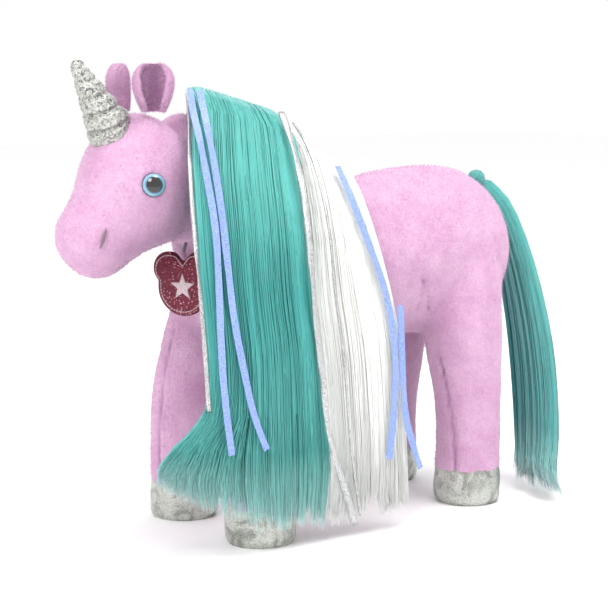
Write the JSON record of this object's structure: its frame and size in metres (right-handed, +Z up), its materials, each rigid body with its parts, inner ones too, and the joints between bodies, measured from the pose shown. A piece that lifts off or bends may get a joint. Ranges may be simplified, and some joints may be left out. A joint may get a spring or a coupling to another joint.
{
  "type": "plush unicorn",
  "caption": "Standing stuffed unicorn with a long combed mane and tail, cloth horn and hooves, domed eyes, ribbons and a chest medallion; head, ears, horn, mane, tail and medallion move.",
  "frame": {"origin": "on the floor under the middle of the toy's box, ribbons and cord left out", "axes": "+Z up, the toy faces -Y, its left side is +X; all four soles rest at z = 0"},
  "size_m": [0.1729, 0.4142, 0.3315],
  "materials": {
    "badge_felt": "matte",
    "badge_glitter": "satin",
    "loop_cord": "satin",
    "silver_thread": "satin",
    "lilac_plush": "matte",
    "ribbon_blue": "satin",
    "polyester_filling": "matte",
    "ear_lining": "matte",
    "eye_plastic": "gloss",
    "washer_plastic": "matte",
    "silver_lame": "satin",
    "hair_teal": "satin",
    "weft_band": "matte",
    "hair_white": "satin",
    "grey_thread": "satin",
    "tinsel_silver": "satin",
    "hair_tail": "satin"
  },
  "bodies": {
    "body": {"badge_loop": "loop_cord", "belly_gusset": "lilac_plush", "body_filling": "polyester_filling", "body_left_panel": "lilac_plush", "body_right_panel": "lilac_plush", "front_left_hoof_cover": "silver_lame", "front_left_hoof_sole": "silver_lame", "front_left_leg_filling": "polyester_filling", "front_left_leg_inner_panel": "lilac_plush", "front_left_leg_outer_panel": "lilac_plush", "front_right_hoof_cover": "silver_lame", "front_right_hoof_sole": "silver_lame", "front_right_leg_filling": "polyester_filling", "front_right_leg_inner_panel": "lilac_plush", "front_right_leg_outer_panel": "lilac_plush", "hind_left_hoof_cover": "silver_lame", "hind_left_hoof_sole": "silver_lame", "hind_left_leg_filling": "polyester_filling", "hind_left_leg_inner_panel": "lilac_plush", "hind_left_leg_outer_panel": "lilac_plush", "hind_right_hoof_cover": "silver_lame", "hind_right_hoof_sole": "silver_lame", "hind_right_leg_filling": "polyester_filling", "hind_right_leg_inner_panel": "lilac_plush", "hind_right_leg_outer_panel": "lilac_plush", "mane_weft": "weft_band"},
    "head": {"eye_left": "eye_plastic", "eye_right": "eye_plastic", "eye_washer_left": "washer_plastic", "eye_washer_right": "washer_plastic", "head_filling": "polyester_filling", "head_gusset": "lilac_plush", "head_left_panel": "lilac_plush", "head_right_panel": "lilac_plush", "nostril_stitch_left": "grey_thread", "nostril_stitch_right": "grey_thread"},
    "ear_left": {"ear_left_back": "lilac_plush", "ear_left_lining": "ear_lining"},
    "ear_right": {"ear_right_back": "lilac_plush", "ear_right_lining": "ear_lining"},
    "horn": {"horn_cover": "silver_lame", "horn_filling": "polyester_filling", "horn_thread": "silver_thread"},
    "mane": {"blue_ribbon_front": "ribbon_blue", "blue_ribbon_rear": "ribbon_blue", "blue_ribbon_second": "ribbon_blue", "blue_ribbon_tip": "ribbon_blue", "mane_teal_hair": "hair_teal", "mane_white_hair": "hair_white", "silver_cord_white": "tinsel_silver", "silver_strand_front": "tinsel_silver", "silver_tinsel_seam": "tinsel_silver"},
    "tail_root": {"tail_binding": "weft_band"},
    "tail": {"tail_hair": "hair_tail"},
    "badge": {"badge_back": "badge_felt", "badge_face": "badge_glitter", "badge_star": "silver_thread", "badge_stitching": "silver_thread"}
  },
  "joints": [
    {"name": "head_nod", "type": "hinge", "parent": "body", "child": "head", "pos_m": [-0.0122, -0.1394, 0.249], "axis": [1, 0, 0], "range_deg": [-10, 8], "stiffness_Nm_per_rad": 2},
    {"name": "ear_left_fold", "type": "hinge", "parent": "head", "child": "ear_left", "pos_m": [0.0088, -0.1474, 0.2925], "axis": [0.6, 0.8, 0], "range_deg": [-2, 20], "stiffness_Nm_per_rad": 0.03},
    {"name": "ear_right_fold", "type": "hinge", "parent": "head", "child": "ear_right", "pos_m": [-0.0332, -0.1474, 0.2925], "axis": [0.6, -0.8, 0], "range_deg": [-2, 20], "stiffness_Nm_per_rad": 0.03},
    {"name": "horn_tilt", "type": "hinge", "parent": "head", "child": "horn", "pos_m": [-0.0122, -0.1685, 0.2842], "axis": [1, 0, 0], "range_deg": [-8, 2], "stiffness_Nm_per_rad": 0.1},
    {"name": "mane_lift", "type": "hinge", "parent": "body", "child": "mane", "pos_m": [-0.0122, -0.0444, 0.279], "axis": [0, -0.9207, 0.3903], "range_deg": [0, 60]},
    {"name": "tail_swing", "type": "hinge", "parent": "body", "child": "tail_root", "pos_m": [-0.0122, 0.1621, 0.2385], "axis": [0, 0, 1], "range_deg": [0, 60]},
    {"name": "tail_lift", "type": "hinge", "parent": "tail_root", "child": "tail", "pos_m": [-0.0122, 0.1621, 0.2385], "axis": [1, 0, 0], "range_deg": [0, 75]},
    {"name": "badge_swing", "type": "hinge", "parent": "body", "child": "badge", "pos_m": [-0.0037, -0.1164, 0.197], "axis": [-0.867, -0.4983, 0], "range_deg": [0, 25]}
  ]
}
